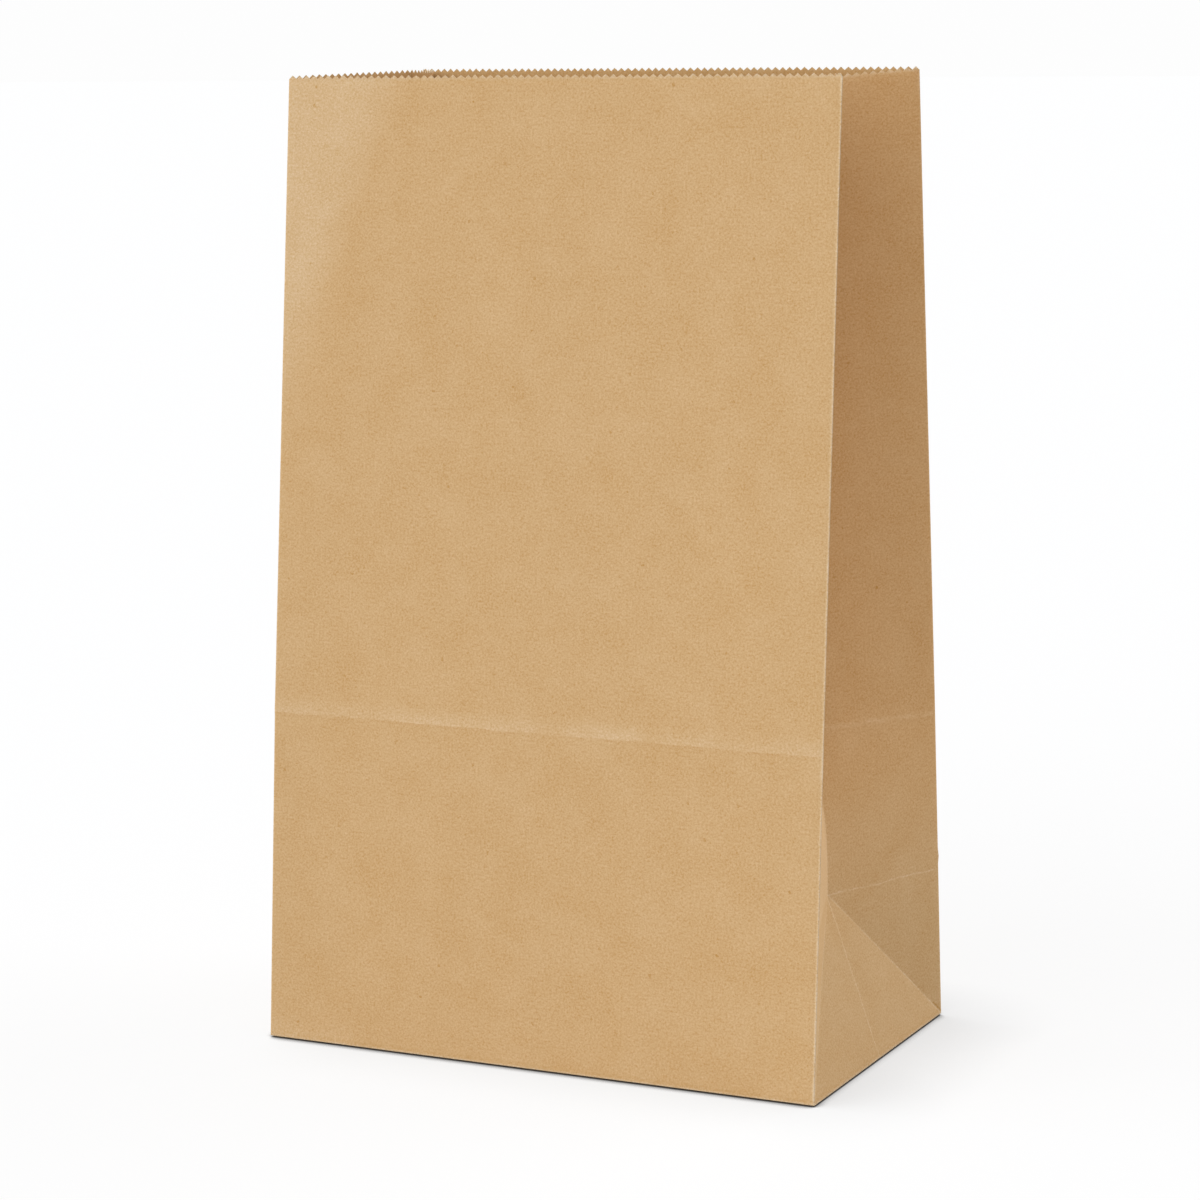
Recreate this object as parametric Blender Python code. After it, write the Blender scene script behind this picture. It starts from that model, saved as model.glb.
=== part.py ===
# Brown paper lunch bag, standing open on its square bottom.
# One sheet of kraft paper: a pasted tube with a tucked gusset in each side,
# closed below by two pasted flaps and cut to a row of small teeth at the mouth.
# Metres, +Z up, front face toward -Y, origin under the middle of the bottom.
import math

import bmesh
import bpy
from mathutils import Vector

for old in list(bpy.context.scene.objects):
    bpy.data.objects.remove(old, do_unlink=True)

# Sizes of the folded sheet
BASE_WIDTH = 0.160
BASE_DEPTH = 0.090
PANEL_LENGTH = 0.2582
PAPER = 0.00015
TOOTH_PITCH = 0.0021
TOOTH_DEPTH = 0.00095

# Cross crease round the walls, where the flat bag was folded up over its bottom
CREASE_LENGTH = 0.0904

# How far the front wall leans back at its cross crease and at the mouth
FRONT_LEAN_CREASE = 0.0079
FRONT_LEAN_MOUTH_RIGHT = 0.0233
FRONT_LEAN_MOUTH_LEFT = 0.0258

# How far the rear wall leans forward at its cross crease and at the mouth;
# its left end stands open and leans out backward instead
REAR_LEAN_CREASE = 0.0044
REAR_LEAN_MOUTH_RIGHT = 0.0145
REAR_LEAN_MOUTH_LEFT = -0.0058

# How far the middle fold of each gusset is tucked in above the bottom triangle
# and at the mouth, and its place there between the front edge (0) and the rear (1)
TUCK_LOW_RIGHT = 0.0152
TUCK_LOW_LEFT = 0.0060
TUCK_MOUTH_RIGHT = 0.0366
TUCK_MOUTH_LEFT = 0.0150
TUCK_PLACE_RIGHT = 0.5
TUCK_PLACE_LEFT = 0.606

# Belly of the rear half of the left gusset at the mouth, inward where negative
LEFT_BELLY = -0.0060

# Pasted seam up the rear wall: its outer cut edge, from the right, and overlap
SEAM_FROM_RIGHT = 0.044
SEAM_OVERLAP = 0.0125

# Overlap of the outer bottom flap past the middle of the bottom
FLAP_PAST_MIDDLE = 0.012

# Height of the last plain row of the walls below the teeth
RIM_BAND = 0.006

# Layers of paper in the bottom
FLOOR_LAYERS = 2

FRONT_CELLS = 8
REAR_CELLS = 3
SIDE_CELLS = 4
WALL_ROWS = 4


def wall_height(length, crease_lean, mouth_lean):
    """Height reached by a length of paper that leans, bends at the crease and leans on."""
    low = math.sqrt(CREASE_LENGTH ** 2 - crease_lean ** 2)
    if length <= CREASE_LENGTH:
        return low * length / CREASE_LENGTH
    upper = PANEL_LENGTH - CREASE_LENGTH
    rise = math.sqrt(upper ** 2 - (mouth_lean - crease_lean) ** 2)
    return low + rise * (length - CREASE_LENGTH) / upper


def wall_lean(length, crease_lean, mouth_lean):
    """Lean of the wall at a length of paper above the bottom fold."""
    if length <= CREASE_LENGTH:
        return crease_lean * length / CREASE_LENGTH
    share = (length - CREASE_LENGTH) / (PANEL_LENGTH - CREASE_LENGTH)
    return crease_lean + (mouth_lean - crease_lean) * share


def front_edge(side, length):
    """Front fold of one side, side -1 left and +1 right."""
    mouth = FRONT_LEAN_MOUTH_RIGHT if side > 0 else FRONT_LEAN_MOUTH_LEFT
    lean = wall_lean(length, FRONT_LEAN_CREASE, mouth)
    height = wall_height(length, FRONT_LEAN_CREASE, mouth)
    return Vector((side * BASE_WIDTH / 2, lean - BASE_DEPTH / 2, height))


def rear_edge(side, length):
    """Rear fold of one side. The rear wall keeps its width where it is turned."""
    right = wall_lean(length, REAR_LEAN_CREASE, REAR_LEAN_MOUTH_RIGHT)
    left = wall_lean(length, REAR_LEAN_CREASE, REAR_LEAN_MOUTH_LEFT)
    if side > 0:
        height = wall_height(length, REAR_LEAN_CREASE, REAR_LEAN_MOUTH_RIGHT)
        return Vector((BASE_WIDTH / 2, BASE_DEPTH / 2 - right, height))
    height = wall_height(length, REAR_LEAN_CREASE, REAR_LEAN_MOUTH_LEFT)
    span = math.sqrt(BASE_WIDTH ** 2 - (right - left) ** 2)
    return Vector((BASE_WIDTH / 2 - span, BASE_DEPTH / 2 - left, height))


def tuck_fold(side, length):
    """Middle fold of a gusset, from the top of the bottom triangle to the mouth."""
    start = BASE_DEPTH / 2
    share = (length - start) / (PANEL_LENGTH - start)
    low_tuck = TUCK_LOW_RIGHT if side > 0 else TUCK_LOW_LEFT
    mouth_tuck = TUCK_MOUTH_RIGHT if side > 0 else TUCK_MOUTH_LEFT
    place = TUCK_PLACE_RIGHT if side > 0 else TUCK_PLACE_LEFT
    tuck = low_tuck + (mouth_tuck - low_tuck) * share ** 0.62
    low = math.sqrt(start ** 2 - low_tuck ** 2)
    rise = math.sqrt((PANEL_LENGTH - start) ** 2 - (mouth_tuck - low_tuck) ** 2)
    middle = 0.5 + (place - 0.5) * share
    edge = front_edge(side, length).lerp(rear_edge(side, length), middle)
    return Vector((edge.x - side * tuck, edge.y, low + rise * share))


def outward(a, b):
    """Unit vector in plan, to the right of the way from a to b."""
    way = (b - a).to_2d().normalized()
    return Vector((way.y, -way.x, 0.0))


# Columns round the bag, seen from above against the clock from the front left edge.
# Each panel is cut into teeth, and a column stands at every few teeth.
front_teeth = round(BASE_WIDTH / TOOTH_PITCH)
side_teeth = round(BASE_DEPTH / 2 / TOOTH_PITCH)
seam_tooth = round(SEAM_FROM_RIGHT / TOOTH_PITCH)
seam_end_tooth = seam_tooth + round(SEAM_OVERLAP / TOOTH_PITCH)


def cuts(first, last, cells):
    """Whole tooth numbers that share a panel into cells."""
    return [first + round((last - first) * i / cells) for i in range(cells)]


rear_marks = cuts(0, seam_tooth, 2) + [seam_tooth]
rear_marks += cuts(seam_end_tooth, front_teeth, REAR_CELLS)
panels = [
    ("front", front_teeth, cuts(0, front_teeth, FRONT_CELLS)),
    ("right front half", side_teeth, cuts(0, side_teeth, 1)),
    ("right rear half", side_teeth, cuts(0, side_teeth, 1)),
    ("rear", front_teeth, rear_marks),
    ("left rear half", side_teeth, cuts(0, side_teeth, SIDE_CELLS)),
    ("left front half", side_teeth, cuts(0, side_teeth, 1)),
]

columns = []
tooth_count = 0
for panel, teeth, marks in panels:
    for mark in marks:
        outer_step = [0.0]
        inner_step = [PAPER]
        if panel == "rear":
            if mark < seam_tooth:
                share = mark / seam_tooth
                outer_step = [PAPER * share]
                inner_step = [PAPER * (1 + share)]
            elif mark == seam_tooth:
                outer_step = [PAPER, 0.0]
                inner_step = [2 * PAPER]
            elif mark == seam_end_tooth:
                inner_step = [2 * PAPER, PAPER]
        columns.append({
            "panel": panel,
            "share": mark / teeth,
            "tooth": tooth_count + mark,
            "corner": mark == 0,
            "outer": outer_step,
            "inner": inner_step,
        })
    tooth_count += teeth


def panel_ends(panel, length):
    """Start and end of a panel at a length of paper above the bottom fold."""
    if panel == "front":
        return front_edge(-1, length), front_edge(1, length)
    if panel == "right front half":
        return front_edge(1, length), tuck_fold(1, length)
    if panel == "right rear half":
        return tuck_fold(1, length), rear_edge(1, length)
    if panel == "rear":
        return rear_edge(1, length), rear_edge(-1, length)
    if panel == "left rear half":
        return rear_edge(-1, length), tuck_fold(-1, length)
    return tuck_fold(-1, length), front_edge(-1, length)


def ring(length):
    """Outer line of the bag in plan at one length of paper above the bottom fold."""
    start = BASE_DEPTH / 2
    points = []
    for column in columns:
        first, last = panel_ends(column["panel"], length)
        share = column["share"]
        point = first.lerp(last, share)
        if column["panel"] == "left rear half":
            rise = (length - start) / (PANEL_LENGTH - start)
            belly = LEFT_BELLY * (0.25 + 0.75 * rise) * 4 * share * (1 - share)
            point += outward(first, last) * belly
        points.append(point)
    return points


def inset(points, index, distance):
    """Point of a ring moved inward so that both neighbouring faces move by a distance."""
    count = len(points)
    before = outward(points[index - 1], points[index])
    after = outward(points[index], points[(index + 1) % count])
    middle = (before + after).normalized()
    return points[index] - middle * (distance / middle.dot(after))


def layer(points, key):
    """Points of the outer or inner face of the paper round one ring."""
    found = []
    for index, column in enumerate(columns):
        found.append([inset(points, index, step) for step in column[key]])
    return found


# Lengths of paper at which the walls have a row, from the low crease to the mouth
valley_length = PANEL_LENGTH - TOOTH_DEPTH
band_length = valley_length - RIM_BAND
lengths = [BASE_DEPTH / 2, CREASE_LENGTH]
for row in range(1, WALL_ROWS + 1):
    lengths.append(CREASE_LENGTH + (band_length - CREASE_LENGTH) * row / WALL_ROWS)

mesh_data = bmesh.new()


def add_point(point):
    return mesh_data.verts.new(point)


def add_face(corners, flip):
    """Face from its corners, turned over for the inner side of the paper."""
    kept = []
    for corner in corners:
        if corner not in kept:
            kept.append(corner)
    if len(kept) < 3:
        return
    if flip:
        kept.reverse()
    mesh_data.faces.new(kept)


def add_fan(tip, line, flip):
    for a, b in zip(line, line[1:]):
        add_face([tip, a, b], flip)


def add_strip(low, high, flip):
    """Triangles between two short lines with different numbers of points."""
    share = len(high) // 2
    add_face([low[0], low[1], high[share]], flip)
    for a, b in zip(high[:share], high[1:share + 1]):
        add_face([low[0], b, a], flip)
    for a, b in zip(high[share:], high[share + 1:]):
        add_face([low[1], b, a], flip)


def bottom_inset(lean, length, inner):
    """How far a leaning face meets the bottom inside its fold line: 0 for the outer face."""
    if not inner:
        return 0.0
    slope = lean / math.sqrt(length ** 2 - lean ** 2)
    return PAPER * math.sqrt(1 + slope ** 2) + FLOOR_LAYERS * PAPER * slope


def build_side(key, flip):
    """One face of the paper: walls, gussets, bottom triangles and teeth."""
    count = len(columns)
    rows = []
    for length in lengths:
        rows.append([[add_point(p) for p in group] for group in layer(ring(length), key)])

    # Bottom fold: plain points under the front and rear walls only
    base_row = {}
    right_x = BASE_WIDTH / 2 - bottom_inset(TUCK_LOW_RIGHT, BASE_DEPTH / 2, flip)
    left_x = bottom_inset(TUCK_LOW_LEFT, BASE_DEPTH / 2, flip) - BASE_WIDTH / 2
    front_y = bottom_inset(FRONT_LEAN_CREASE, CREASE_LENGTH, flip) - BASE_DEPTH / 2
    rear_y = BASE_DEPTH / 2 - bottom_inset(REAR_LEAN_CREASE, CREASE_LENGTH, flip)
    base_height = FLOOR_LAYERS * PAPER if flip else 0.0
    for index, column in enumerate(columns):
        if column["panel"] == "front":
            x = left_x + (right_x - left_x) * column["share"]
            base_row[index] = add_point((x, front_y, base_height))
        if column["panel"] == "rear":
            x = right_x + (left_x - right_x) * column["share"]
            base_row[index] = add_point((x, rear_y, base_height))
    firsts = [i for i, column in enumerate(columns) if column["corner"]]
    front_left, right_front, right_rear, rear_right, left_rear, left_front = firsts
    base_row[right_front] = add_point((right_x, front_y, base_height))
    base_row[left_rear] = add_point((left_x, rear_y, base_height))

    # Walls above the bottom fold
    for index in range(count):
        after = (index + 1) % count
        panel = columns[index]["panel"]
        if panel in ("front", "rear"):
            corners = [base_row[index], base_row[after], rows[0][after][0], rows[0][index][-1]]
            add_face([corners[0], corners[1], corners[2]], flip)
            add_face([corners[0], corners[2], corners[3]], flip)
        for low, high in zip(rows, rows[1:]):
            corners = [low[index][-1], low[after][0], high[after][0], high[index][-1]]
            add_face([corners[0], corners[1], corners[2]], flip)
            add_face([corners[0], corners[2], corners[3]], flip)

    # Folded gusset halves and the triangle between them, low in each side
    for corner, panel in (
        (right_front, "right front half"),
        (rear_right, "right rear half"),
        (left_rear, "left rear half"),
        (front_left, "left front half"),
    ):
        members = [i for i, column in enumerate(columns) if column["panel"] == panel]
        line = [rows[0][i][0] for i in members]
        line.append(rows[0][(members[-1] + 1) % count][0])
        add_fan(base_row[corner], line[::-1], flip)
    add_face([base_row[right_front], base_row[rear_right], rows[0][right_rear][0]], flip)
    add_face([base_row[left_rear], base_row[front_left], rows[0][left_front][0]], flip)

    # Teeth along the mouth
    valley_ring = layer(ring(valley_length), key)
    tip_ring = layer(ring(PANEL_LENGTH), key)
    valleys = [[add_point(p) for p in group] for group in valley_ring]
    outline = []
    for index in range(count):
        after = (index + 1) % count
        start = columns[index]["tooth"]
        end = columns[after]["tooth"] if after else tooth_count
        teeth = end - start
        low_line = [valleys[index][-1]]
        for tooth in range(1, teeth):
            point = valley_ring[index][-1].lerp(valley_ring[after][0], tooth / teeth)
            low_line.append(add_point(point))
        low_line.append(valleys[after][0])
        add_strip([rows[-1][index][-1], rows[-1][after][0]], low_line, flip)
        outline.append((index, low_line, []))
        for tooth in range(teeth):
            point = tip_ring[index][-1].lerp(tip_ring[after][0], (tooth + 0.5) / teeth)
            tip = add_point(point)
            add_face([low_line[tooth], low_line[tooth + 1], tip], flip)
            outline[-1][2].append(tip)

    # Cut edge of the pasted seam, one paper thickness high
    for index, column in enumerate(columns):
        if len(column[key]) == 2:
            add_face([base_row[index], rows[0][index][1], rows[0][index][0]], flip)
            for low, high in zip(rows, rows[1:] + [valleys]):
                corners = [low[index][0], low[index][1], high[index][1], high[index][0]]
                add_face([corners[0], corners[1], corners[2]], flip)
                add_face([corners[0], corners[2], corners[3]], flip)
    return base_row, valleys, outline, firsts


outer_base, outer_valleys, outer_outline, firsts = build_side("outer", False)
inner_base, inner_valleys, inner_outline, firsts = build_side("inner", True)

# Cut edge of the mouth
for (index, outer_line, outer_tips), (same, inner_line, inner_tips) in zip(outer_outline, inner_outline):
    for tooth in range(len(outer_tips)):
        add_face([outer_line[tooth], outer_tips[tooth], inner_tips[tooth]], False)
        add_face([outer_line[tooth], inner_tips[tooth], inner_line[tooth]], False)
        add_face([outer_tips[tooth], outer_line[tooth + 1], inner_line[tooth + 1]], False)
        add_face([outer_tips[tooth], inner_line[tooth + 1], inner_tips[tooth]], False)
for index in range(len(columns)):
    if len(outer_valleys[index]) == 2:
        add_face([outer_valleys[index][0], outer_valleys[index][1], inner_valleys[index][0]], False)
    if len(inner_valleys[index]) == 2:
        add_face([outer_valleys[index][0], inner_valleys[index][1], inner_valleys[index][0]], False)

# Inside of the bottom
floor_line = [inner_base[i] for i in sorted(inner_base)]
add_face(floor_line, False)

# Underside: the outer flap lies flat, the inner one shows a paper thickness above it
front_left, right_front, right_rear, rear_right, left_rear, left_front = firsts
flap_y = -FLAP_PAST_MIDDLE
flap_x = BASE_WIDTH / 2 - (BASE_DEPTH / 2 - flap_y)
low_right = add_point((flap_x, flap_y, 0.0))
low_left = add_point((-flap_x, flap_y, 0.0))
high_right = add_point((flap_x, flap_y, PAPER))
high_left = add_point((-flap_x, flap_y, PAPER))
front_line = [outer_base[i] for i in sorted(outer_base) if i <= right_front]
rear_line = [outer_base[i] for i in sorted(outer_base) if i >= rear_right]
add_face(rear_line + [low_left, low_right], True)
add_face(front_line + [high_right, high_left], True)
add_face([front_line[-1], rear_line[0], high_right], True)
add_face([rear_line[-1], front_line[0], high_left], True)
add_face([rear_line[0], low_right, high_right], True)
add_face([rear_line[-1], high_left, low_left], True)
add_face([low_right, low_left, high_left, high_right], True)

bmesh.ops.triangulate(mesh_data, faces=[f for f in mesh_data.faces if len(f.verts) > 3])

# Kraft paper
kraft = bpy.data.materials.new("kraft_paper")
kraft.use_nodes = True
shader = kraft.node_tree.nodes["Principled BSDF"]
shader.inputs["Base Color"].default_value = (0.584, 0.381, 0.191, 1.0)
shader.inputs["Roughness"].default_value = 0.85
shader.inputs["Metallic"].default_value = 0.0

bag_mesh = bpy.data.meshes.new("paper_bag")
mesh_data.to_mesh(bag_mesh)
mesh_data.free()
bag_mesh.materials.append(kraft)
paper_bag = bpy.data.objects.new("paper_bag", bag_mesh)
bpy.context.scene.collection.objects.link(paper_bag)
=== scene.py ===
import math

import bmesh
import bpy
from mathutils import Euler, Matrix, Vector, noise


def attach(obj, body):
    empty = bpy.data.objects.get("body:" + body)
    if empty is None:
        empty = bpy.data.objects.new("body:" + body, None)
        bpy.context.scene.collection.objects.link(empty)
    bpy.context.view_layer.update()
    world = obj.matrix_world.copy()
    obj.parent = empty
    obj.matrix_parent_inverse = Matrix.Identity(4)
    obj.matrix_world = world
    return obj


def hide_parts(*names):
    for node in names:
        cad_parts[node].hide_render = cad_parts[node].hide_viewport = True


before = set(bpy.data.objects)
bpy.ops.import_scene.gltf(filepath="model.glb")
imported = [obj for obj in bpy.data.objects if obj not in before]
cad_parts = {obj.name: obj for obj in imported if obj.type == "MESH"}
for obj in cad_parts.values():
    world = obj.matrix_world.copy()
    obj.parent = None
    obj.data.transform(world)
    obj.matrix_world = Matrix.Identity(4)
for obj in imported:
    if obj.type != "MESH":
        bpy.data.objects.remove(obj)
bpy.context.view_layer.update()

# Paper lunch bag: one sheet of brown kraft paper, pasted into a tube with a gusset
# tucked into each side, and folded and pasted to a flat bottom. It stands open, and
# its mouth is cut into teeth. Sides are 1 for right and -1 for left, from the front.
WIDTH = 0.160
DEPTH = 0.090
HALF = DEPTH / 2
THICK = 0.00015
EDGE_LIFT = 0.0004

# Paper from the bottom fold to the mouth, and at each corner of the mouth
HEIGHT = 0.2582
FRONT_HEIGHT = {1: 0.2585, -1: 0.2587}
REAR_HEIGHT = {1: 0.2580, -1: 0.2577}

# Level crease where the bag was folded flat, the ridge it leaves on the front, and
# how far it falls toward the rear on a gusset
CREASE = 0.0904
RIDGE = CREASE - 0.0016
DROP = 0.0038

# How far the corner folds lean in at the crease and at the mouth
FRONT_LEAN_CREASE = 0.0079
FRONT_LEAN_MOUTH = {1: 0.0233, -1: 0.0258}
REAR_LEAN_CREASE = 0.0044
REAR_LEAN_MOUTH = {1: 0.0145, -1: -0.0066}

# Depth of the tuck of each gusset, how it grows, and how far the left one's fold
# wanders to the rear
TUCK_LOW = {1: 0.0152, -1: 0.0060}
TUCK_MOUTH = {1: 0.0366, -1: 0.0118}
TUCK_GROWTH = 0.62
TUCK_DELAY = 2.2
TUCK_SHIFT = {1: 0.0, -1: 0.112}

# Where the folds of the tube stand round the sheet, from the front left fold
RIGHT = WIDTH
REAR = WIDTH + DEPTH
LEFT = 2 * WIDTH + DEPTH
TUBE = 2 * (WIDTH + DEPTH)


def lean(v, at_crease, at_mouth):
    if v <= CREASE:
        return at_crease * v / CREASE
    return at_crease + (at_mouth - at_crease) * (v - CREASE) / (HEIGHT - CREASE)


def rise(v, at_crease, at_mouth, length):
    """Height of a point of a corner fold whose paper has the given length."""
    low = math.sqrt(CREASE ** 2 - at_crease ** 2)
    if v <= CREASE:
        return low * v / CREASE
    upper = math.sqrt((length - CREASE) ** 2 - (at_mouth - at_crease) ** 2)
    return low + upper * (v - CREASE) / (HEIGHT - CREASE)


def front_fold(side, v):
    mouth = FRONT_LEAN_MOUTH[side]
    back = lean(v, FRONT_LEAN_CREASE, mouth) - HALF
    up = rise(v, FRONT_LEAN_CREASE, mouth, FRONT_HEIGHT[side])
    return Vector((side * WIDTH / 2, back, up))


def rear_fold(side, v):
    right = lean(v, REAR_LEAN_CREASE, REAR_LEAN_MOUTH[1])
    left = lean(v, REAR_LEAN_CREASE, REAR_LEAN_MOUTH[-1])
    up = rise(v, REAR_LEAN_CREASE, REAR_LEAN_MOUTH[side], REAR_HEIGHT[side])
    if side > 0:
        return Vector((WIDTH / 2, HALF - right, up))
    span = math.sqrt(WIDTH ** 2 - (right - left) ** 2)
    return Vector((WIDTH / 2 - span, HALF - left, up))


def tuck_fold(side, v):
    """Middle fold of a gusset, above the tip of its low triangle."""
    share = max(0.0, (v - HALF) / (HEIGHT - HALF))
    low_tuck = TUCK_LOW[side]
    mouth = TUCK_MOUTH[side]
    slow = min(1.0, max(0.0, v - HALF) / (CREASE - HALF)) ** TUCK_DELAY
    tuck = low_tuck + (mouth - low_tuck) * share ** TUCK_GROWTH * slow
    low = math.sqrt(HALF ** 2 - low_tuck ** 2)
    upper = math.sqrt((HEIGHT - HALF) ** 2 - (mouth - low_tuck) ** 2)
    edge = front_fold(side, v).lerp(rear_fold(side, v), 0.5 + TUCK_SHIFT[side] * share)
    return Vector((edge.x - side * tuck, edge.y, low + upper * share))


def gusset_point(side, w, v):
    """Point of a gusset, w from its front fold to its rear fold along the paper."""
    apex = tuck_fold(side, HALF)
    if v < HALF and w <= v:
        return front_fold(side, v) + (apex - front_fold(side, HALF)) * (w / HALF)
    if v < HALF and w >= DEPTH - v:
        return rear_fold(side, v) + (apex - rear_fold(side, HALF)) * ((DEPTH - w) / HALF)
    if v < HALF:
        front = front_fold(side, 0.0)
        rear = rear_fold(side, 0.0)
        middle = (front + rear) / 2
        return front + (rear - front) * (w / DEPTH) + (apex - middle) * (v / HALF)
    if w <= HALF:
        return front_fold(side, v).lerp(tuck_fold(side, v), w / HALF)
    return tuck_fold(side, v).lerp(rear_fold(side, v), (w - HALF) / HALF)


def sheet_point(panel, w, v):
    """Point of the folded sheet: w across its panel, v up from the bottom fold."""
    if panel == "front":
        return front_fold(-1, v).lerp(front_fold(1, v), w / WIDTH)
    if panel == "right":
        return gusset_point(1, w, v)
    if panel == "rear":
        return rear_fold(1, v).lerp(rear_fold(-1, v), w / WIDTH)
    return gusset_point(-1, DEPTH - w, v)


# Columns round the tube, as panel, place across it and place round the sheet. There
# is one for each tooth of the cutter, which bites a little unevenly, and one close
# beside each fold.
TEETH = 72
SIDE_TEETH = 20
TOOTH_DEPTH = 0.00088
FRONT_UNEVEN = 0.30
REAR_UNEVEN = 0.12
BESIDE_FOLD = 0.00035
CLOSE = 1e-6
GUSSETS = ("right", "left")


def spread(width, teeth, uneven, seed):
    pitch = width / teeth
    marks = [
        pitch * (k + uneven * noise.noise(Vector((k * 0.83, seed, 0.4))))
        for k in range(teeth)
    ]
    return [0.0, BESIDE_FOLD] + marks[1:] + [width - BESIDE_FOLD]


front_marks = spread(WIDTH, TEETH, FRONT_UNEVEN, 3.7)
rear_marks = spread(WIDTH, TEETH, REAR_UNEVEN, 9.2)
half_marks = spread(HALF, SIDE_TEETH, 0.0, 0.0)
side_marks = half_marks + [HALF] + [DEPTH - mark for mark in half_marks[:0:-1]]
columns = [("front", w, w) for w in front_marks]
columns += [("right", w, RIGHT + w) for w in side_marks]
columns += [("rear", w, REAR + w) for w in rear_marks]
columns += [("left", w, LEFT + w) for w in side_marks]
count = len(columns)

# Pasted seam up the rear wall: the end of the sheet that comes from the right goes
# under the other end, and both are cut into the same teeth
SEAM_FROM_RIGHT = 0.044
SEAM_OVERLAP = 0.0125
SEAM_DEPTH = THICK + 0.00001
rear_columns = [i for i, column in enumerate(columns) if column[0] == "rear"]
seam_at = min(rear_columns, key=lambda i: abs(columns[i][1] - SEAM_FROM_RIGHT))
seam_end_at = min(
    rear_columns, key=lambda i: abs(columns[i][1] - SEAM_FROM_RIGHT - SEAM_OVERLAP)
)
SEAM = columns[seam_at][1]

# Rows up the paper: close together where it is folded or creased
LOW_ROWS = 18
HIGH_ROWS = 46
CREASE_BELOW = 0.004
CREASE_ABOVE = 0.007
TEETH_BELOW = 0.004
valleys = HEIGHT - TOOTH_DEPTH
low_part = CREASE - CREASE_BELOW - HALF
high_part = valleys - TEETH_BELOW - CREASE - CREASE_ABOVE
at_ridge = (-0.0020, -0.0012, -0.0006, 0.0, 0.0006, 0.0012, CREASE - RIDGE)
at_crease = (0.0008, 0.0016, 0.0026, 0.0040, CREASE_ABOVE)
rows = half_marks + [HALF]
rows += [HALF + low_part * k / LOW_ROWS for k in range(1, LOW_ROWS + 1)]
rows += [RIDGE + step for step in at_ridge]
rows += [CREASE + step for step in at_crease]
rows += [CREASE + CREASE_ABOVE + high_part * k / HIGH_ROWS for k in range(1, HIGH_ROWS + 1)]
rows += [valleys - TEETH_BELOW / 2, valleys]

# The walls are not quite flat: soft waves that die out at the folds, the ridge of
# the level crease, small slanted creases, and a bend of the left gusset's halves
FRONT_WAVE = 0.00045
FRONT_RIPPLE = 0.00012
REAR_WAVE = 0.0005
SIDE_WAVE = 0.00035
WALL_FADE = 0.012
SIDE_FADE = 0.008
LOW_FADE = 0.02
RIDGE_HEIGHT = 0.00007
RIDGE_BELOW = 0.0016
RIDGE_ABOVE = 0.0046
FOLD_DENT = 0.00022
SMALL_CREASE = 0.00010
LEFT_BEND_FRONT = -0.0014
LEFT_BEND_REAR = -0.0045


def bump(x, spread_by):
    return math.exp(-(x / spread_by) ** 2)


def left_bend(w, v):
    """Both halves of the left gusset bend a little inward, most at the mouth."""
    reach = min(v, HALF)
    if reach == 0.0 or (w > reach and w < DEPTH - reach):
        return 0.0
    share = min(w, DEPTH - w) / reach
    depth = LEFT_BEND_FRONT if w <= HALF else LEFT_BEND_REAR
    grow = 0.25 * reach / HALF + 0.75 * max(0.0, (v - HALF) / (HEIGHT - HALF))
    return depth * grow * 4 * share * (1 - share)


def front_relief(w, v):
    edge = min(1.0, w / WALL_FADE, (WIDTH - w) / WALL_FADE)
    wave = FRONT_WAVE * noise.noise(Vector((w * 18, v * 9, 1.7)))
    wave += FRONT_RIPPLE * noise.noise(Vector((w * 60, v * 34, 4.1)))
    line = v - RIDGE - 0.0005 * noise.noise(Vector((w * 45, 0.0, 8.3)))
    if line < 0:
        ridge = max(0.0, 1 + line / RIDGE_BELOW) ** 2
    else:
        ridge = max(0.0, 1 - line / RIDGE_ABOVE) ** 1.3
    return wave * edge * min(1.0, v / LOW_FADE) + RIDGE_HEIGHT * ridge


def rear_relief(w, v):
    edge = min(1.0, w / WALL_FADE, (WIDTH - w) / WALL_FADE)
    wave = REAR_WAVE * noise.noise(Vector((w * 18, v * 9, 21.7)))
    dip = SEAM_DEPTH * w / SEAM * min(1.0, v / 0.002) if w < SEAM else 0.0
    return wave * edge * min(1.0, v / LOW_FADE) + FOLD_DENT * bump(v - HALF, 0.0012) - dip


def gusset_relief(panel, w, v):
    seed = 11.3 if panel == "right" else 31.9
    along = w if panel == "right" else DEPTH - w
    wave = SIDE_WAVE * noise.noise(Vector((w * 25, v * 14, seed)))
    to_middle = abs(w - HALF) / SIDE_FADE if v > HALF else 1.0
    edge = min(1.0, w / SIDE_FADE, (DEPTH - w) / SIDE_FADE, to_middle)
    height = wave * edge * min(1.0, v / 0.01)
    if along > HALF and v > DEPTH - along:
        wander = 0.0009 * noise.noise(Vector((w * 60, 0.0, seed + 3)))
        low = v - HALF + DROP * (along - HALF) / HALF - wander
        height += SMALL_CREASE * bump(low, 0.0009) * edge
        height += SMALL_CREASE * bump(low - RIDGE + HALF, 0.0012) * edge
    if v < HALF and v < along < DEPTH - v:
        middle = along - HALF - 0.0015 * noise.noise(Vector((v * 70, 0.0, seed + 5)))
        height -= FOLD_DENT * max(0.0, 1 - abs(middle) / SIDE_FADE) * min(1.0, v / 0.006)
    return height


def relief(panel, w, v):
    """How far the paper stands out of its flat panel."""
    if panel == "front":
        return front_relief(w, v)
    if panel == "rear":
        return rear_relief(w, v)
    if panel == "right":
        return gusset_relief(panel, w, v)
    return gusset_relief(panel, w, v) + left_bend(DEPTH - w, v)


# The sheet itself: its outer face as a mesh, with the flat sheet as its UV map in
# metres, U round the tube from the front left fold and V up from the bottom fold
sheet = bmesh.new()
uv_layer = sheet.loops.layers.uv.new("paper")
place = {}
heights = {}


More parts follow.
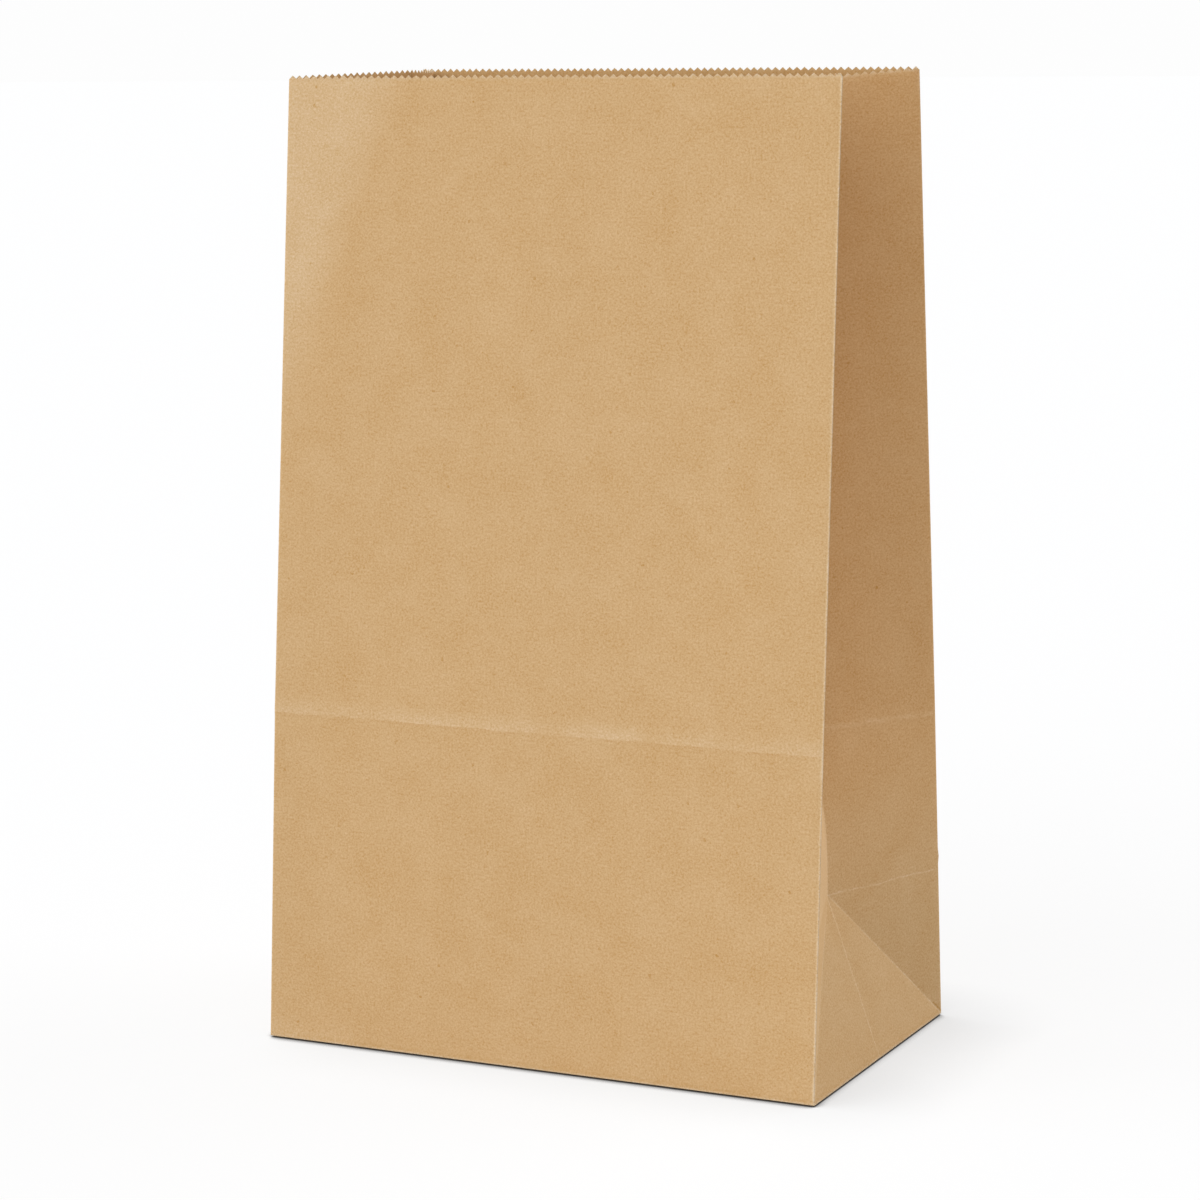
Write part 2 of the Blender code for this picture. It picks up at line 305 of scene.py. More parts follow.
def paper_vert(point, uv):
    vert = sheet.verts.new(point)
    place[vert] = uv
    return vert


def paper_face(corners):
    face = sheet.faces.new(corners)
    face.smooth = True
    around = [place[corner][0] for corner in corners]
    for loop in face.loops:
        u, v = place[loop.vert]
        if max(around) - u > TUBE / 2:
            u += TUBE
        loop[uv_layer].uv = (u, v)


def paper_row(v, row_columns, depth):
    row = []
    for panel, w, tube in row_columns:
        vert = paper_vert(sheet_point(panel, w, v), (tube, v))
        heights[vert] = relief(panel, w, v) - depth
        row.append(vert)
    return row


grid = [paper_row(v, columns, 0.0) for v in rows]

# The end under the seam starts from the same point of the bottom fold
under_columns = columns[seam_at:seam_end_at + 1]
under = [paper_row(v, under_columns, SEAM_DEPTH) for v in rows]
heights.pop(under[0][0])
sheet.verts.remove(under[0][0])
under[0][0] = grid[0][seam_at]
for low, high in zip(under, under[1:]):
    for k in range(len(low) - 1):
        paper_face([low[k], low[k + 1], high[k + 1], high[k]])

# Walls; the slanted folds of the low triangles cut the faces that they cross
sharp = set()
for low in range(len(rows) - 1):
    high = low + 1
    for here in range(count):
        after = (here + 1) % count
        panel, w, tube = columns[here]
        width = DEPTH if panel in GUSSETS else WIDTH
        w_after = columns[after][1] if columns[after][0] == panel else width
        low_here, high_here = grid[low][here], grid[high][here]
        low_after, high_after = grid[low][after], grid[high][after]
        if after == seam_at:
            low_after, high_after = under[low][0], under[high][0]
        beside_low = panel in GUSSETS and rows[high] <= HALF + CLOSE
        if beside_low and abs(w - rows[low]) < CLOSE:
            paper_face([low_here, low_after, high_after])
            paper_face([low_here, high_after, high_here])
            sharp.add((low_here, high_after))
        elif beside_low and abs(w_after - (DEPTH - rows[low])) < CLOSE:
            paper_face([low_here, low_after, high_here])
            paper_face([low_after, high_after, high_here])
            sharp.add((low_after, high_here))
        else:
            paper_face([low_here, low_after, high_after, high_here])

# Teeth at the mouth: one over each step between two marks, passing over the marks
# that only stand beside a fold
FRONT_TIPS = 0.00022
OTHER_TIPS = 0.00009


def beside_fold(panel, w):
    folds = (0.0, HALF, DEPTH) if panel in GUSSETS else (0.0, WIDTH)
    return any(abs(abs(w - fold) - BESIDE_FOLD) < CLOSE for fold in folds)


def tooth(foot, column, middle, tip_v, depth):
    panel, w, tube = column
    tip = paper_vert(sheet_point(panel, middle, tip_v), (tube + middle - w, tip_v))
    heights[tip] = relief(panel, middle, HEIGHT) - depth
    paper_face(foot + [tip])


for here in range(count):
    panel, w, tube = columns[here]
    if beside_fold(panel, w):
        continue
    foot = [grid[-1][here]]
    after = here
    while True:
        after = (after + 1) % count
        foot.append(grid[-1][after])
        w_after = columns[after][1]
        if columns[after][0] != panel:
            w_after = DEPTH if panel in GUSSETS else WIDTH
            break
        if not beside_fold(panel, w_after):
            break
    if after == seam_at:
        foot[-1] = under[-1][0]
    wobble = noise.noise(Vector(((tube + 7) * 900, 0.0, 2.2)))
    tip_v = HEIGHT + (FRONT_TIPS if panel == "front" else OTHER_TIPS) * wobble
    tooth(foot, columns[here], (w + w_after) / 2, tip_v, 0.0)

for k, column in enumerate(under_columns[:-1]):
    middle = (column[1] + under_columns[k + 1][1]) / 2
    tooth(under[-1][k:k + 2], column, middle, HEIGHT, SEAM_DEPTH)

# Soft waves and creases stand square to the paper
sheet.normal_update()
for vert, height in heights.items():
    vert.co += vert.normal * height
    vert.co.z += EDGE_LIFT

# Folds have a small radius
FOLD_ROUND = 0.15
FOLD_SPAN = 0.0012
for row in grid:
    for here, (panel, w, tube) in enumerate(columns):
        if w == 0.0 or (w == HALF and panel in GUSSETS):
            before = row[here - 1].co
            behind = row[(here + 1) % count].co
            if (before - behind).length < FOLD_SPAN:
                row[here].co = row[here].co.lerp((before + behind) / 2, FOLD_ROUND)

# Bottom: side panels inside, then the front flap, then the rear flap outermost. Each
# bends from its fold within a few millimetres and narrows as its ends are mitred.
BEND = 0.003
LAYER = 0.00019
NEAR_FOLD = (0.0004, 0.0012, BEND, 0.015, 0.030)
SIDE_FLAP = 0.050
FRONT_FLAP = 0.057
REAR_FLAP = 0.058


def bottom_panel(panel, reaches, height, narrow):
    members = [i for i in range(count) if columns[i][0] == panel]
    edge = [grid[0][i] for i in members] + [grid[0][(members[-1] + 1) % count]]
    centre = sum((v.co.to_2d() for v in (edge[0], edge[-1])), Vector((0, 0))) / 2
    inward = -centre.normalized()
    along = (edge[-1].co - edge[0].co).to_2d()
    half = along.length / 2
    previous = edge
    for reach in reaches:
        lift = height * min(1.0, reach / BEND) ** 0.7
        lift += EDGE_LIFT * max(0.0, 1 - reach / BEND) ** 2
        scale = (half - reach * narrow) / half
        line = []
        for k, vert in enumerate(edge):
            share = (vert.co.to_2d() - edge[0].co.to_2d()).length / along.length
            flat = centre + along * (share - 0.5) * scale + inward * reach
            uv = (place[vert][0], -reach)
            if k == len(edge) - 1 and panel == "left":
                uv = (TUBE, -reach)
            line.append(paper_vert((flat.x, flat.y, lift), uv))
        for k in range(len(edge) - 1):
            paper_face([line[k], line[k + 1], previous[k + 1], previous[k]])
        previous = line


bottom_panel("right", NEAR_FOLD + (SIDE_FLAP,), 2 * LAYER, 0.72)
bottom_panel("left", NEAR_FOLD + (SIDE_FLAP,), 2 * LAYER, 0.72)
bottom_panel("front", NEAR_FOLD + (0.046, FRONT_FLAP), LAYER, 1.0)
bottom_panel("rear", NEAR_FOLD + (0.046, REAR_FLAP), 0.0, 1.0)

for ends in sharp:
    sheet.edges.get(ends).smooth = False

bag_mesh = bpy.data.meshes.new("paper_bag")
sheet.to_mesh(bag_mesh)
sheet.free()
bag = bpy.data.objects.new("paper_bag_sheet", bag_mesh)
bpy.context.scene.collection.objects.link(bag)

# The modifier gives the paper its thickness inward, with its own finishes for the
# cut edges (second) and the inner face, whose darker colour is painted shade (third)
thickness = bag.modifiers.new("Paper thickness", "SOLIDIFY")
thickness.thickness = THICK
thickness.offset = -1.0
thickness.use_even_offset = True
thickness.use_rim = True
thickness.material_offset_rim = 1
thickness.material_offset = 2


# Its finish: uncoated kraft, a cloudy brown pulp with fine fibres and a few dark
# specks, paler where the folds and the cut teeth are rubbed. Some marks are painted light
# and shade: highlights on the front right fold and the front crease, a sheen at the top
# left corner, light and shade on the gussets, shade under the crease, in a gap and on the
# inner face. Lines of wear and of painted light are placed by the UV map, so they lie on
# the flat sheet.
def new_group(name, inputs, outputs):
    group = bpy.data.node_groups.new(name, "ShaderNodeTree")
    for label, kind, value in inputs:
        socket = group.interface.new_socket(label, in_out="INPUT", socket_type=kind)
        if value is not None:
            socket.default_value = value
    for label, kind in outputs:
        group.interface.new_socket(label, in_out="OUTPUT", socket_type=kind)
    start = group.nodes.new("NodeGroupInput")
    end = group.nodes.new("NodeGroupOutput")
    return group, start, end


def math_node(tree, kind, *values, clamp=False):
    node = tree.nodes.new("ShaderNodeMath")
    node.operation = kind
    node.use_clamp = clamp
    for socket, value in zip(node.inputs, values):
        if isinstance(value, (int, float)):
            socket.default_value = value
        else:
            tree.links.new(value, socket)
    return node.outputs[0]


def noise_node(tree, vector, scale, detail, roughness=0.5, distortion=0.0):
    node = tree.nodes.new("ShaderNodeTexNoise")
    node.inputs["Scale"].default_value = scale
    node.inputs["Detail"].default_value = detail
    node.inputs["Roughness"].default_value = roughness
    node.inputs["Distortion"].default_value = distortion
    tree.links.new(vector, node.inputs["Vector"])
    return node.outputs["Fac"]


FLOAT = "NodeSocketFloat"
VECTOR = "NodeSocketVector"

# Pulp: clouds, short curled fibres, fine grain and specks
CLOUD_SCALE = 75.0
FIBRE_SCALE = 480.0
GRAIN_SCALE = 1750.0
SPECK_SCALE = 210.0
SPECK_SIZE = 0.085
SPECK_STRAY = 0.0012
pulp, start, end = new_group(
    "Kraft pulp",
    [
        ("Sheet", VECTOR, None),
        ("Clouds", FLOAT, 0.24),
        ("Fibres", FLOAT, 0.50),
        ("Grain", FLOAT, 0.88),
    ],
    [("Shade", FLOAT), ("Height", FLOAT), ("Specks", FLOAT)],
)
sheet_in = start.outputs["Sheet"]
clouds = noise_node(pulp, sheet_in, CLOUD_SCALE, 5.0, 0.62, 0.4)
curls = noise_node(pulp, sheet_in, FIBRE_SCALE, 2.0, 0.6, 2.2)
curls = math_node(pulp, "ABSOLUTE", math_node(pulp, "SUBTRACT", curls, 0.5))
curls = math_node(pulp, "SUBTRACT", 0.075, curls)
grain = noise_node(pulp, sheet_in, GRAIN_SCALE, 2.0, 0.8)
grain = math_node(pulp, "SUBTRACT", grain, 0.5)
shade = math_node(pulp, "SUBTRACT", clouds, 0.5)
shade = math_node(pulp, "MULTIPLY", shade, start.outputs["Clouds"])
fibres = math_node(pulp, "MULTIPLY", curls, start.outputs["Fibres"])
shade = math_node(pulp, "ADD", shade, fibres)
fine = math_node(pulp, "MULTIPLY", grain, start.outputs["Grain"])
shade = math_node(pulp, "ADD", shade, fine)
shade = math_node(pulp, "ADD", shade, 1.0)
cells = pulp.nodes.new("ShaderNodeTexVoronoi")
cells.inputs["Scale"].default_value = SPECK_SCALE
stray = pulp.nodes.new("ShaderNodeTexNoise")
stray.inputs["Scale"].default_value = 900.0
stretch = pulp.nodes.new("ShaderNodeVectorMath")
stretch.operation = "MULTIPLY_ADD"
stretch.inputs[1].default_value = (SPECK_STRAY, SPECK_STRAY, 0.0)
pulp.links.new(sheet_in, stray.inputs["Vector"])
pulp.links.new(stray.outputs["Color"], stretch.inputs[0])
pulp.links.new(sheet_in, stretch.inputs[2])
pulp.links.new(stretch.outputs[0], cells.inputs["Vector"])
parts = pulp.nodes.new("ShaderNodeSeparateColor")
pulp.links.new(cells.outputs["Color"], parts.inputs[0])
few = math_node(pulp, "GREATER_THAN", parts.outputs[0], 0.80)
speck_size = math_node(pulp, "MULTIPLY", few, SPECK_SIZE)
specks = math_node(pulp, "LESS_THAN", cells.outputs["Distance"], speck_size)
pulp.links.new(shade, end.inputs["Shade"])
raised = math_node(pulp, "MULTIPLY", curls, 2.0)
pulp.links.new(math_node(pulp, "ADD", grain, raised), end.inputs["Height"])
pulp.links.new(specks, end.inputs["Specks"])

# Fading line: strongest on a line of the sheet, fading over its half width. It places
# rubbed wear, and also painted highlights and painted shade
line_group, start, end = new_group(
    "Fading line",
    [
        ("Coordinate", FLOAT, 0.0),
        ("Line", FLOAT, 0.0),
        ("Half width", FLOAT, 0.0005),
        ("Strength", FLOAT, 0.5),
    ],
    [("Mask", FLOAT)],
)
off = math_node(line_group, "SUBTRACT", start.outputs["Coordinate"], start.outputs["Line"])
off = math_node(line_group, "ABSOLUTE", off)
off = math_node(line_group, "DIVIDE", off, start.outputs["Half width"])
near = math_node(line_group, "SUBTRACT", 1.0, off, clamp=True)
near = math_node(line_group, "MULTIPLY", near, start.outputs["Strength"])
line_group.links.new(near, end.inputs["Mask"])

# Between: 1 where a coordinate lies between two values
window_group, start, end = new_group(
    "Between",
    [("Coordinate", FLOAT, 0.0), ("From", FLOAT, 0.0), ("To", FLOAT, 1.0)],
    [("Mask", FLOAT)],
)
above = math_node(
    window_group, "GREATER_THAN", start.outputs["Coordinate"], start.outputs["From"]
)
below = math_node(
    window_group, "LESS_THAN", start.outputs["Coordinate"], start.outputs["To"]
)
window_group.links.new(math_node(window_group, "MULTIPLY", above, below), end.inputs["Mask"])

kraft = bpy.data.materials.new("Kraft paper")
kraft.use_nodes = True
tree = kraft.node_tree
shader = tree.nodes["Principled BSDF"]
uv_map = tree.nodes.new("ShaderNodeUVMap")
uv_map.uv_map = "paper"
axes = tree.nodes.new("ShaderNodeSeparateXYZ")
tree.links.new(uv_map.outputs[0], axes.inputs[0])
across = axes.outputs[0]
up = axes.outputs[1]
pulp_node = tree.nodes.new("ShaderNodeGroup")
pulp_node.node_tree = pulp
tree.links.new(uv_map.outputs[0], pulp_node.inputs["Sheet"])

# Creases wander by up to a millimetre, and rubbed lines come and go
WANDER = 0.0020
wander = noise_node(tree, uv_map.outputs[0], 130.0, 3.0, 0.6)
wander = math_node(tree, "MULTIPLY", math_node(tree, "SUBTRACT", wander, 0.5), WANDER)
patchy = noise_node(tree, uv_map.outputs[0], 210.0, 2.0)
patchy = math_node(tree, "MULTIPLY", patchy, 1.6, clamp=True)


def fading_line(coordinate, line, half_width, strength):
    node = tree.nodes.new("ShaderNodeGroup")
    node.node_tree = line_group
    tree.links.new(coordinate, node.inputs["Coordinate"])
    node.inputs["Line"].default_value = line
    node.inputs["Half width"].default_value = half_width
    node.inputs["Strength"].default_value = strength
    return node.outputs["Mask"]


def between(coordinate, low, high):
    node = tree.nodes.new("ShaderNodeGroup")
    node.node_tree = window_group
    tree.links.new(coordinate, node.inputs["Coordinate"])
    node.inputs["From"].default_value = low
    node.inputs["To"].default_value = high
    return node.outputs["Mask"]


def times(*masks):
    total = masks[0]
    for mask in masks[1:]:
        total = math_node(tree, "MULTIPLY", total, mask)
    return total


def minus(first, second):
    return math_node(tree, "SUBTRACT", first, second)


def over_gussets():
    right = between(across, RIGHT, REAR)
    left = between(across, LEFT, TUBE)
    return math_node(tree, "ADD", right, left)


# Folds up the walls: the four corners, the seam and the middles of the gussets. They
# are rubbed most near the bottom and at the mouth. The front right corner's line, widest
# and strongest, is partly rubbed wear and partly a painted highlight where the fold
# catches the light.
FINE = 0.00055
above_bottom = between(up, -0.0002, 1.0)
pale_masks = []
low_down = math_node(tree, "SUBTRACT", 1.35, math_node(tree, "DIVIDE", up, 0.090))
high_up = math_node(tree, "DIVIDE", minus(up, 0.2505), 0.005, clamp=True)
low_down = math_node(tree, "MAXIMUM", low_down, 1.0)
high_up = math_node(tree, "MULTIPLY", high_up, 0.6)
fold_ends_boost = math_node(tree, "ADD", low_down, high_up)
for line, half_width, strength in (
    (0.0, FINE, 0.24),
    # Front right corner: rubbed wear plus a painted highlight
    (RIGHT, 0.00082, 1.00),
    (REAR, FINE, 0.36),
    (REAR + SEAM, 0.00030, 0.30),
    (LEFT, FINE, 0.36),
    (TUBE, FINE, 0.24),
):
    mask = times(fading_line(across, line, half_width, strength), patchy, fold_ends_boost, above_bottom)
    pale_masks.append(math_node(tree, "MINIMUM", mask, 1.0))
for line in (RIGHT + HALF, LEFT + HALF):
    pale_masks.append(times(fading_line(across, line, 0.00045, 0.35), between(up, HALF, 1.0)))

in_low = between(up, 0.0, HALF)
for first in (RIGHT, LEFT):
    # Slanted folds beside the low triangle of each gusset
    from_front = minus(minus(across, first), up)
    from_rear = minus(minus(first + DEPTH, across), up)
    in_side = between(across, first, first + DEPTH)
    pale_masks.append(times(fading_line(from_front, 0.0, 0.0005, 0.40), in_low, in_side))
    pale_masks.append(times(fading_line(from_rear, 0.0, 0.0005, 0.55), in_low, in_side, patchy))

    # Thin wandering creases: two level ones behind the triangle's tip, and one down
    # the middle of the triangle
    rear_low = math_node(tree, "MULTIPLY", minus(across, first + HALF), DROP / HALF)
    level = math_node(tree, "ADD", math_node(tree, "ADD", up, wander), rear_low)
    rear_part = between(across, first + HALF, first + DEPTH)
    pale_masks.append(times(fading_line(level, HALF, 0.00032, 0.50), rear_part, patchy))
    pale_masks.append(times(fading_line(level, RIDGE, 0.0010, 0.22), rear_part, patchy))
    plumb = math_node(tree, "ADD", across, wander)
    pale_masks.append(times(fading_line(plumb, first + HALF, 0.0004, 0.50), in_low, patchy))

# Level crease of the front: a painted highlight, a pale uneven band above its ridge
# where the paper faces up into the light
band_up = math_node(tree, "ADD", up, math_node(tree, "MULTIPLY", wander, 0.6))
on_front = between(across, 0.0, WIDTH)
uneven = minus(noise_node(tree, uv_map.outputs[0], 55.0, 2.0), 0.22)
uneven = math_node(tree, "MULTIPLY", uneven, 2.6, clamp=True)
band = fading_line(band_up, RIDGE, 0.0046, 0.29)
pale_masks.append(times(band, between(band_up, RIDGE - 0.0002, 1.0), on_front, uneven))

# Bottom fold, with the front left corner worn wider
CORNER_WEAR = 0.030
pale_masks.append(fading_line(up, 0.0, 0.0005, 0.70))
corner = math_node(tree, "DIVIDE", across, CORNER_WEAR)
corner = math_node(tree, "SUBTRACT", 1.0, corner, clamp=True)
corner_band = fading_line(up, 0.0, 0.0070, 0.34)
at_left = between(across, -0.001, 0.04)
pale_masks.append(times(corner_band, corner, patchy, above_bottom, at_left))

# Cut teeth, palest on the gussets
toothed = minus(up, HEIGHT - TOOTH_DEPTH - 0.0005)
toothed = math_node(tree, "DIVIDE", toothed, 0.0013, clamp=True)
pale_masks.append(math_node(tree, "MULTIPLY", toothed, 0.62))
pale_masks.append(times(toothed, over_gussets(), 0.85))

# Painted sheen: the top left corner of the front is painted paler, as a soft
# reflection of the window, fading down and inward
SHEEN_DOWN = 0.083
SHEEN_SLANT = 0.37
SHEEN_FADE = 0.010
slant = math_node(tree, "MULTIPLY", minus(up, HEIGHT - SHEEN_DOWN), SHEEN_SLANT)
painted_sheen = minus(minus(slant, across), math_node(tree, "MULTIPLY", wander, 2.5))
painted_sheen = math_node(tree, "DIVIDE", painted_sheen, SHEEN_FADE)
painted_sheen = math_node(tree, "ADD", painted_sheen, 0.5, clamp=True)
pale_masks.append(times(painted_sheen, between(across, -0.001, 0.08), 0.24))

# Painted light: the front half of each gusset, just above the low triangle, is painted
# paler where light from the right and rear falls on it
for low, high in (
    (RIGHT + 0.0006, RIGHT + HALF - 0.0008),
    (LEFT + HALF + 0.0008, TUBE - 0.0006),
):
    pale_masks.append(times(between(up, HALF, 0.085), between(across, low, high), 0.15))

# Painted shade and bounced light: the gussets above their low triangles are painted
# darker and warmer, most deep between their two halves
gusset_bounce_shade = math_node(tree, "DIVIDE", minus(up, 0.030), 0.05, clamp=True)
gusset_bounce_shade = times(gusset_bounce_shade, over_gussets())

pale = pale_masks[0]
for mask in pale_masks[1:]:
    pale = math_node(tree, "MAXIMUM", pale, mask)

# Darker: painted shade in a thin line under the ridge, a thin darker line over the
# bottom fold, a painted shadow in the gap at the rear end of the right gusset's low
# triangle, and the specks of the pulp
# Painted shade under the ridge of the front crease
dark = times(fading_line(band_up, RIDGE - 0.0006, 0.0009, 0.02), on_front)
dark = math_node(tree, "MAXIMUM", dark, fading_line(up, 0.0010, 0.0005, 0.05))
# Painted shadow in the gap at the rear end of the right gusset's low triangle
from_corner = minus(minus(REAR, across), up)
gap_shadow = fading_line(from_corner, -0.0007, 0.0006, 0.30)
gap_shadow = times(gap_shadow, between(up, 0.0004, 0.0042), between(across, RIGHT, REAR))
dark = math_node(tree, "MAXIMUM", dark, gap_shadow)
speckled = math_node(tree, "MULTIPLY", pulp_node.outputs["Specks"], 0.20)
dark = math_node(tree, "MAXIMUM", dark, speckled)

PAPER_BROWN = (0.582, 0.373, 0.177, 1.0)
RUBBED_PALE = (0.760, 0.600, 0.400, 1.0)
# Painted warm bounced light and shade for the gussets
GUSSET_PAINTED_SHADE = (1.050, 0.975, 0.900, 1.0)
tone = tree.nodes.new("ShaderNodeMix")
tone.data_type = "RGBA"
tone.inputs[6].default_value = PAPER_BROWN
tone.inputs[7].default_value = RUBBED_PALE
tree.links.new(pale, tone.inputs[0])
# Multiplies the gussets by their painted shade
painted_gusset_tint = tree.nodes.new("ShaderNodeMix")
painted_gusset_tint.data_type = "RGBA"
painted_gusset_tint.blend_type = "MULTIPLY"
painted_gusset_tint.inputs[7].default_value = GUSSET_PAINTED_SHADE
tree.links.new(tone.outputs[2], painted_gusset_tint.inputs[6])
tree.links.new(gusset_bounce_shade, painted_gusset_tint.inputs[0])

# The pulp's shade moves blue most and red least, as brown fibres do
mottle = tree.nodes.new("ShaderNodeVectorMath")
mottle.operation = "MULTIPLY_ADD"
mottle.inputs[1].default_value = (0.58, 1.04, 2.0)
mottle.inputs[2].default_value = (1.0, 1.0, 1.0)
change = minus(minus(pulp_node.outputs["Shade"], 1.0), dark)
tree.links.new(change, mottle.inputs[0])
shaded = tree.nodes.new("ShaderNodeVectorMath")
shaded.operation = "MULTIPLY"
tree.links.new(painted_gusset_tint.outputs[2], shaded.inputs[0])
tree.links.new(mottle.outputs[0], shaded.inputs[1])
tree.links.new(shaded.outputs[0], shader.inputs["Base Color"])
grain_bump = tree.nodes.new("ShaderNodeBump")
grain_bump.inputs["Strength"].default_value = 0.25
grain_bump.inputs["Distance"].default_value = 0.0001
tree.links.new(pulp_node.outputs["Height"], grain_bump.inputs["Height"])
tree.links.new(grain_bump.outputs[0], shader.inputs["Normal"])
shader.inputs["Roughness"].default_value = 0.82
shader.inputs["Specular IOR Level"].default_value = 0.25
bag_mesh.materials.append(kraft)

# Cut edges show torn pale fibres
cut_edge = bpy.data.materials.new("Kraft paper cut edge")
cut_edge.use_nodes = True
cut_shader = cut_edge.node_tree.nodes["Principled BSDF"]
cut_shader.inputs["Roughness"].default_value = 0.9
cut_shader.inputs["Specular IOR Level"].default_value = 0.2
cut_shader.inputs["Base Color"].default_value = (0.86, 0.71, 0.50, 1.0)
bag_mesh.materials.append(cut_edge)

# Inner face of the same paper, painted darker and warmer as painted shade, for the
# light that reaches it only after bouncing off kraft
INNER_SHADED_BROWN = (0.490, 0.290, 0.118, 1.0)
INNER_SHADED_RUBBED = (0.560, 0.365, 0.175, 1.0)
inside = kraft.copy()
inside.name = "Kraft paper inner face with painted shade"
for node in inside.node_tree.nodes:
    if node.bl_idname == "ShaderNodeMix" and node.blend_type == "MIX":
        node.inputs[6].default_value = INNER_SHADED_BROWN
        node.inputs[7].default_value = INNER_SHADED_RUBBED
bag_mesh.materials.append(inside)

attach(bag, "root")
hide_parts("paper_bag")

# White table: a wide plain board just under the bag. Rays from the camera see mostly
# a pale glow, dimmed where the bag touches the table and on the side away from the
# window, and the rest is the table's own lit surface with the bag's shadow.
TABLE_REACH = 9
TABLE_TOP = -0.0001
TABLE_WHITE = (0.79, 0.80, 0.82, 1.0)
GLOW_SHARE = 0.80
GLOW_STRENGTH = 1.064
TOUCH_REACH = 0.005
LEE_REACH = 0.034
LEE_SHARE = 0.32
AWAY_FROM_WINDOW = (-0.72, -0.30, 0.62)
floor_mesh = bpy.data.meshes.new("Table")
floor_mesh.from_pydata(
    [
        (-TABLE_REACH, -TABLE_REACH, TABLE_TOP),
        (TABLE_REACH, -TABLE_REACH, TABLE_TOP),
        (TABLE_REACH, TABLE_REACH, TABLE_TOP),
        (-TABLE_REACH, TABLE_REACH, TABLE_TOP),
    ],
    [],
    [(0, 1, 2, 3)],
)
floor = bpy.data.objects.new("Table", floor_mesh)
bpy.context.scene.collection.objects.link(floor)
white = bpy.data.materials.new("White table")
white.use_nodes = True
white_tree = white.node_tree
table_top = white_tree.nodes["Principled BSDF"]
table_top.inputs["Base Color"].default_value = TABLE_WHITE
table_top.inputs["Roughness"].default_value = 0.9
table_top.inputs["Specular IOR Level"].default_value = 0.0
glow = white_tree.nodes.new("ShaderNodeEmission")
glow.inputs["Color"].default_value = (1.0, 1.0, 1.0, 1.0)
seen = white_tree.nodes.new("ShaderNodeLightPath")
blend = white_tree.nodes.new("ShaderNodeMixShader")


def seen_directly(node_tree, path):
    """1 for camera rays and for the rays that show the backdrop in gloss or glass."""
    shown = math_node(
        node_tree, "ADD", path.outputs["Is Camera Ray"], path.outputs["Is Glossy Ray"]
    )
    return math_node(
        node_tree, "ADD", shown, path.outputs["Is Transmission Ray"], clamp=True
    )


glow_part = math_node(white_tree, "MULTIPLY", seen_directly(white_tree, seen), GLOW_SHARE)
contact = white_tree.nodes.new("ShaderNodeAmbientOcclusion")
contact.inputs["Distance"].default_value = TOUCH_REACH
touch = math_node(white_tree, "SUBTRACT", contact.outputs["AO"], 0.43)
touch = math_node(white_tree, "MULTIPLY", touch, 2.6, clamp=True)
away = white_tree.nodes.new("ShaderNodeCombineXYZ")
for socket, value in zip(away.inputs, AWAY_FROM_WINDOW):
    socket.default_value = value
lee = white_tree.nodes.new("ShaderNodeAmbientOcclusion")
lee.inputs["Distance"].default_value = LEE_REACH
white_tree.links.new(away.outputs[0], lee.inputs["Normal"])
lee_part = math_node(white_tree, "MULTIPLY", lee.outputs["AO"], LEE_SHARE)
lee_part = math_node(white_tree, "ADD", lee_part, 0.68)
strength = math_node(white_tree, "MULTIPLY", touch, lee_part)
strength = math_node(white_tree, "MULTIPLY", strength, GLOW_STRENGTH)
white_tree.links.new(strength, glow.inputs["Strength"])
white_tree.links.new(glow_part, blend.inputs[0])
white_tree.links.new(table_top.outputs[0], blend.inputs[1])
white_tree.links.new(glow.outputs[0], blend.inputs[2])
white_tree.links.new(
    blend.outputs[0], white_tree.nodes["Material Output"].inputs["Surface"]
)
floor_mesh.materials.append(white)

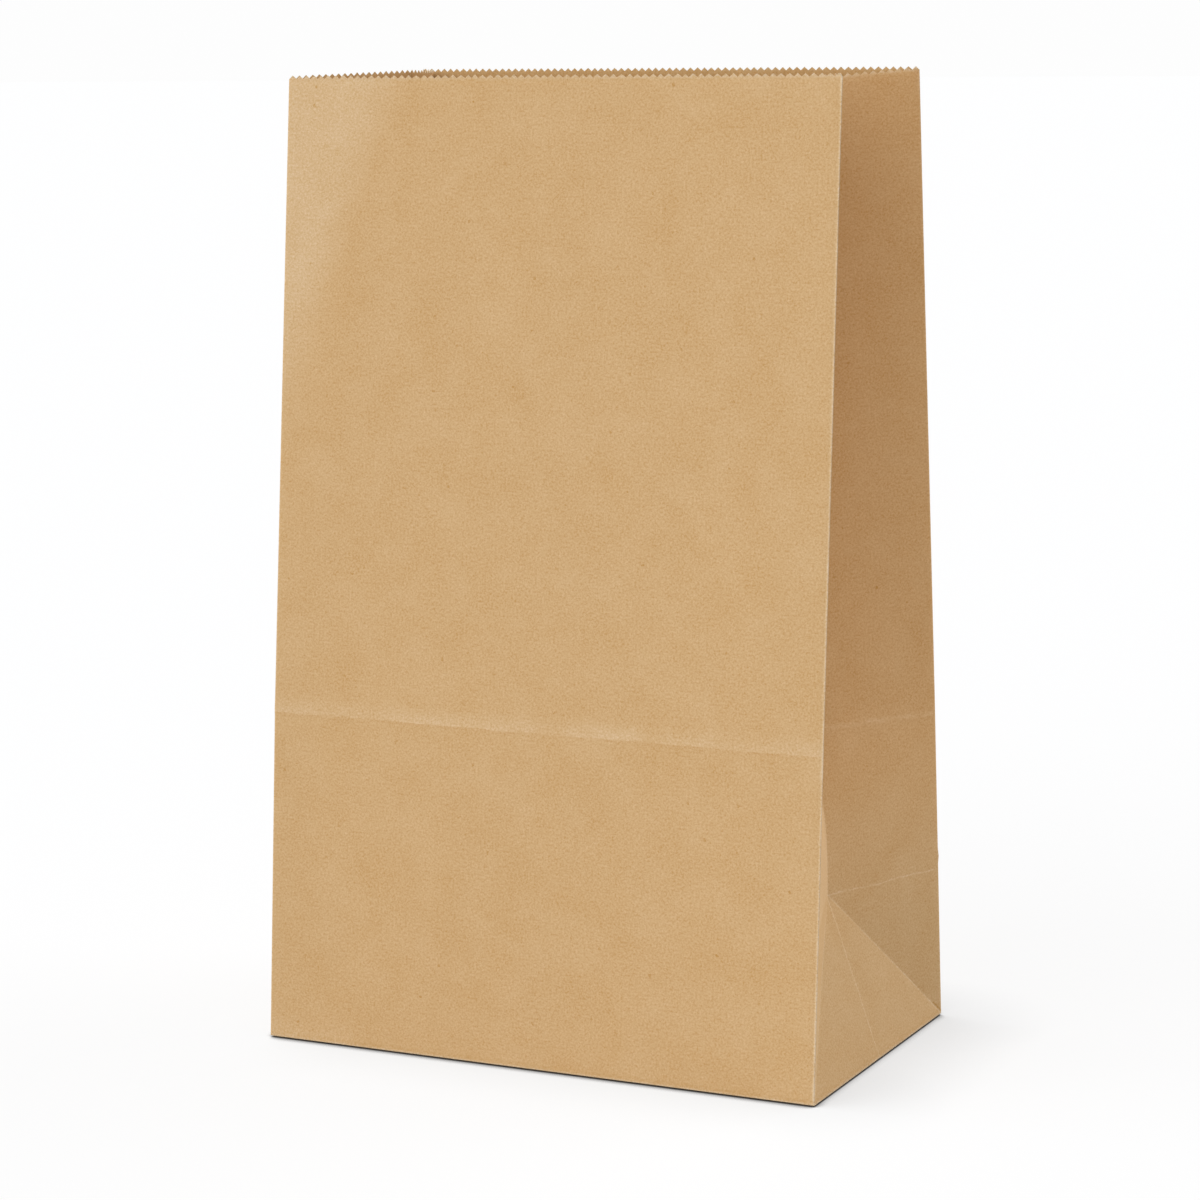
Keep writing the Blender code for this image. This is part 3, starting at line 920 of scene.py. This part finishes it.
# White room round the table: its walls give an even light from all sides, and what
# the camera sees of them is a plain pale backdrop
ROOM_LIGHT = 0.40
BACKDROP = 0.985
world = bpy.data.worlds.new("White room")
bpy.context.scene.world = world
world.use_nodes = True
room = world.node_tree
room_light = room.nodes["Background"]
room_light.inputs["Color"].default_value = (1.0, 1.0, 1.0, 1.0)
room_light.inputs["Strength"].default_value = ROOM_LIGHT
backdrop = room.nodes.new("ShaderNodeBackground")
backdrop.inputs["Color"].default_value = (1.0, 1.0, 1.0, 1.0)
backdrop.inputs["Strength"].default_value = BACKDROP
room_seen = room.nodes.new("ShaderNodeLightPath")
room_mix = room.nodes.new("ShaderNodeMixShader")
room.links.new(seen_directly(room, room_seen), room_mix.inputs[0])
room.links.new(room_light.outputs[0], room_mix.inputs[1])
room.links.new(backdrop.outputs[0], room_mix.inputs[2])
room.links.new(room_mix.outputs[0], room.nodes["World Output"].inputs["Surface"])

# Lights: a broad window at the front left, a weak fill from the front, and white
# walls to left and right that throw its light back. Each is soft, 60 degrees wide.
SOFTNESS = math.radians(60.0)


def soft_light(name, from_way, strength):
    lamp = bpy.data.lights.new(name, "SUN")
    lamp.energy = strength
    lamp.angle = SOFTNESS
    lamp_object = bpy.data.objects.new(name, lamp)
    turn = (-Vector(from_way)).to_track_quat("-Z", "Y")
    lamp_object.rotation_euler = turn.to_euler()
    bpy.context.scene.collection.objects.link(lamp_object)


soft_light("Window light", (-0.45, -0.85, 0.55), 1.20)
soft_light("Front fill light", (0.0, -1.0, 0.25), 0.42)
soft_light("Left wall light", (-1.0, -0.25, 0.40), 1.00)
soft_light("Right wall light", (0.75, 0.65, 0.30), 1.66)

# Camera: a long lens, a little above the mouth and to the right of the front, turned
# to the left, tipped down and rolled a little, as in the photo
CAMERA_PLACE = (0.41973, -0.84974, 0.28016)
TURNED_LEFT = 26.287
TIPPED_DOWN = 9.713
ROLLED = -1.026
camera_data = bpy.data.cameras.new("Camera")
camera_data.sensor_width = 36.0
camera_data.lens = 107.76
camera_data.clip_start = 0.05
camera = bpy.data.objects.new("Camera", camera_data)
bpy.context.scene.collection.objects.link(camera)
turn = Euler((math.radians(90 - TIPPED_DOWN), 0.0, math.radians(TURNED_LEFT))).to_matrix()
turn = turn @ Matrix.Rotation(math.radians(ROLLED), 3, "Z")
camera.matrix_world = Matrix.Translation(CAMERA_PLACE) @ turn.to_4x4()
bpy.context.scene.camera = camera

bpy.context.scene.view_settings.view_transform = "Standard"
